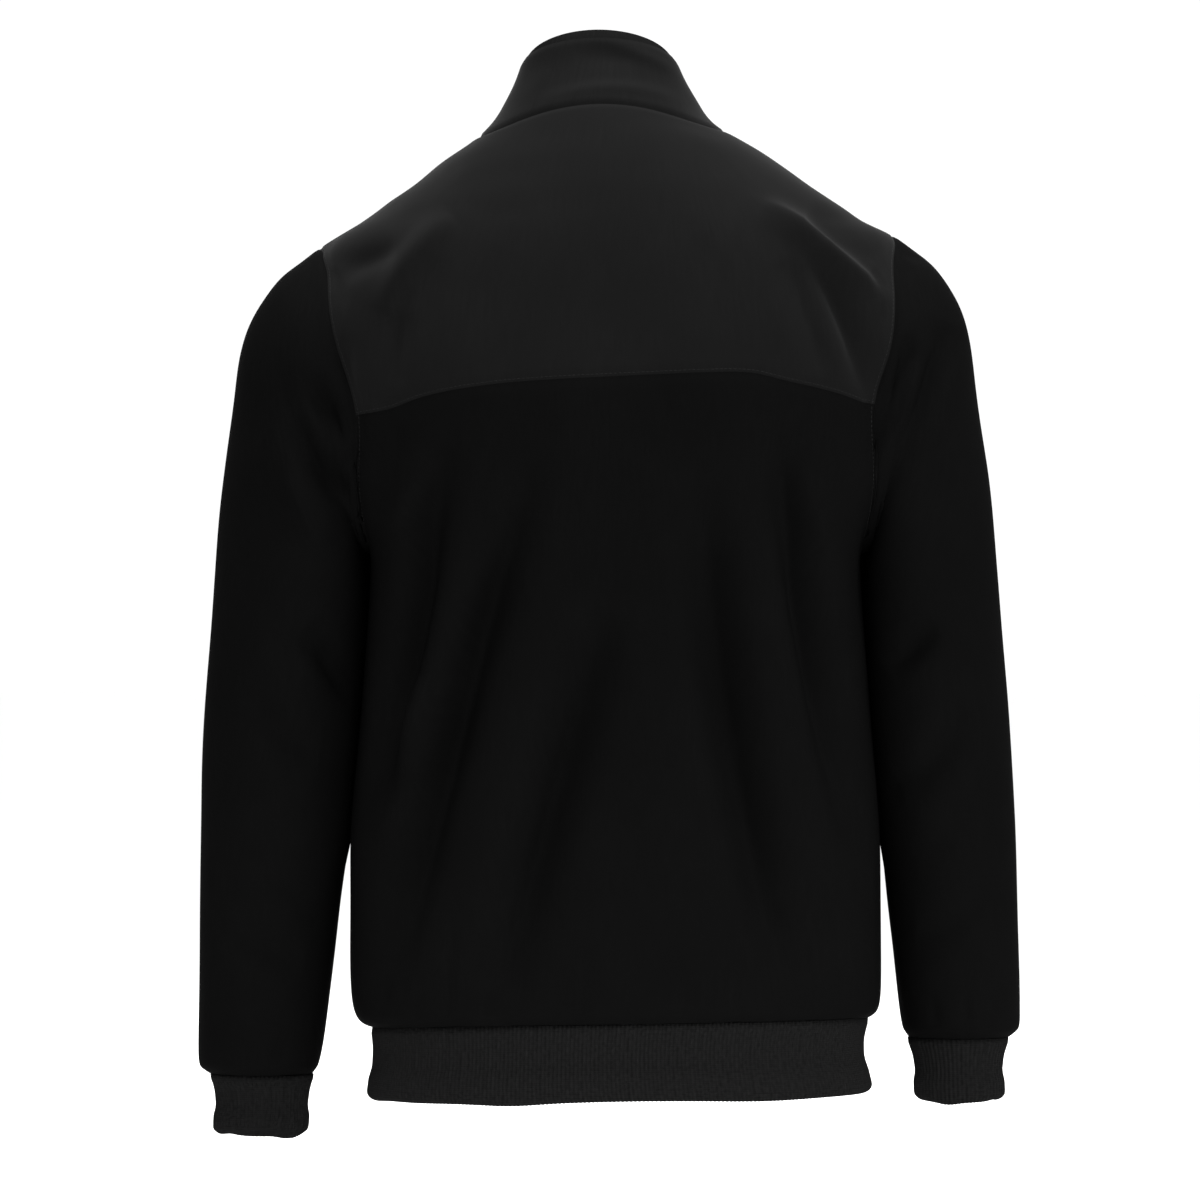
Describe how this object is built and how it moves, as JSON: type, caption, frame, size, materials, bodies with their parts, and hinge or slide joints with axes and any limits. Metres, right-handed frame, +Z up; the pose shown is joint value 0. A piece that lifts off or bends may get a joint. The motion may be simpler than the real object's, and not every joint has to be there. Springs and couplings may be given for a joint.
{
  "type": "track jacket",
  "caption": "Zipped track jacket with a stand collar, a contrast back yoke, set-in sleeves and rib cuffs and hem, filled out as worn with nothing inside it.",
  "frame": {"origin": "inside the neck, level with the base of the collar, where the wearer's neck and shoulders hold the jacket", "axes": "+Z up along the standing wearer, front of the jacket faces -Y, +X towards the wearer's left"},
  "size_m": [0.5896, 0.2504, 0.7876],
  "materials": {
    "charcoal_softshell": "matt charcoal knit with a fine upright grain",
    "black_softshell": "matt near-black knit",
    "black_rib": "matt black rib knit",
    "black_jersey": "matt dark jersey",
    "zip_tape": "matt woven tape",
    "gunmetal": "dark plated metal, satin"
  },
  "bodies": {
    "jacket": {"back_yoke": "charcoal_softshell", "collar": "charcoal_softshell", "back_body": "black_softshell", "front_left": "black_softshell", "front_right": "black_softshell", "sleeve_left": "black_softshell", "sleeve_right": "black_softshell", "collar_facing": "black_jersey", "hem_band": "black_rib", "cuff_left": "black_rib", "cuff_right": "black_rib", "zip_tape_left": "zip_tape", "zip_tape_right": "zip_tape", "zip_slider": "gunmetal"},
    "pull": {"zip_pull": "gunmetal"}
  },
  "joints": [
    {"name": "pull_swing", "type": "hinge", "parent": "jacket", "child": "pull", "pos_m": [-0.00039, -0.07549, -0.0226], "axis": [-1, 0, 0], "range_deg": [0, 150]}
  ]
}
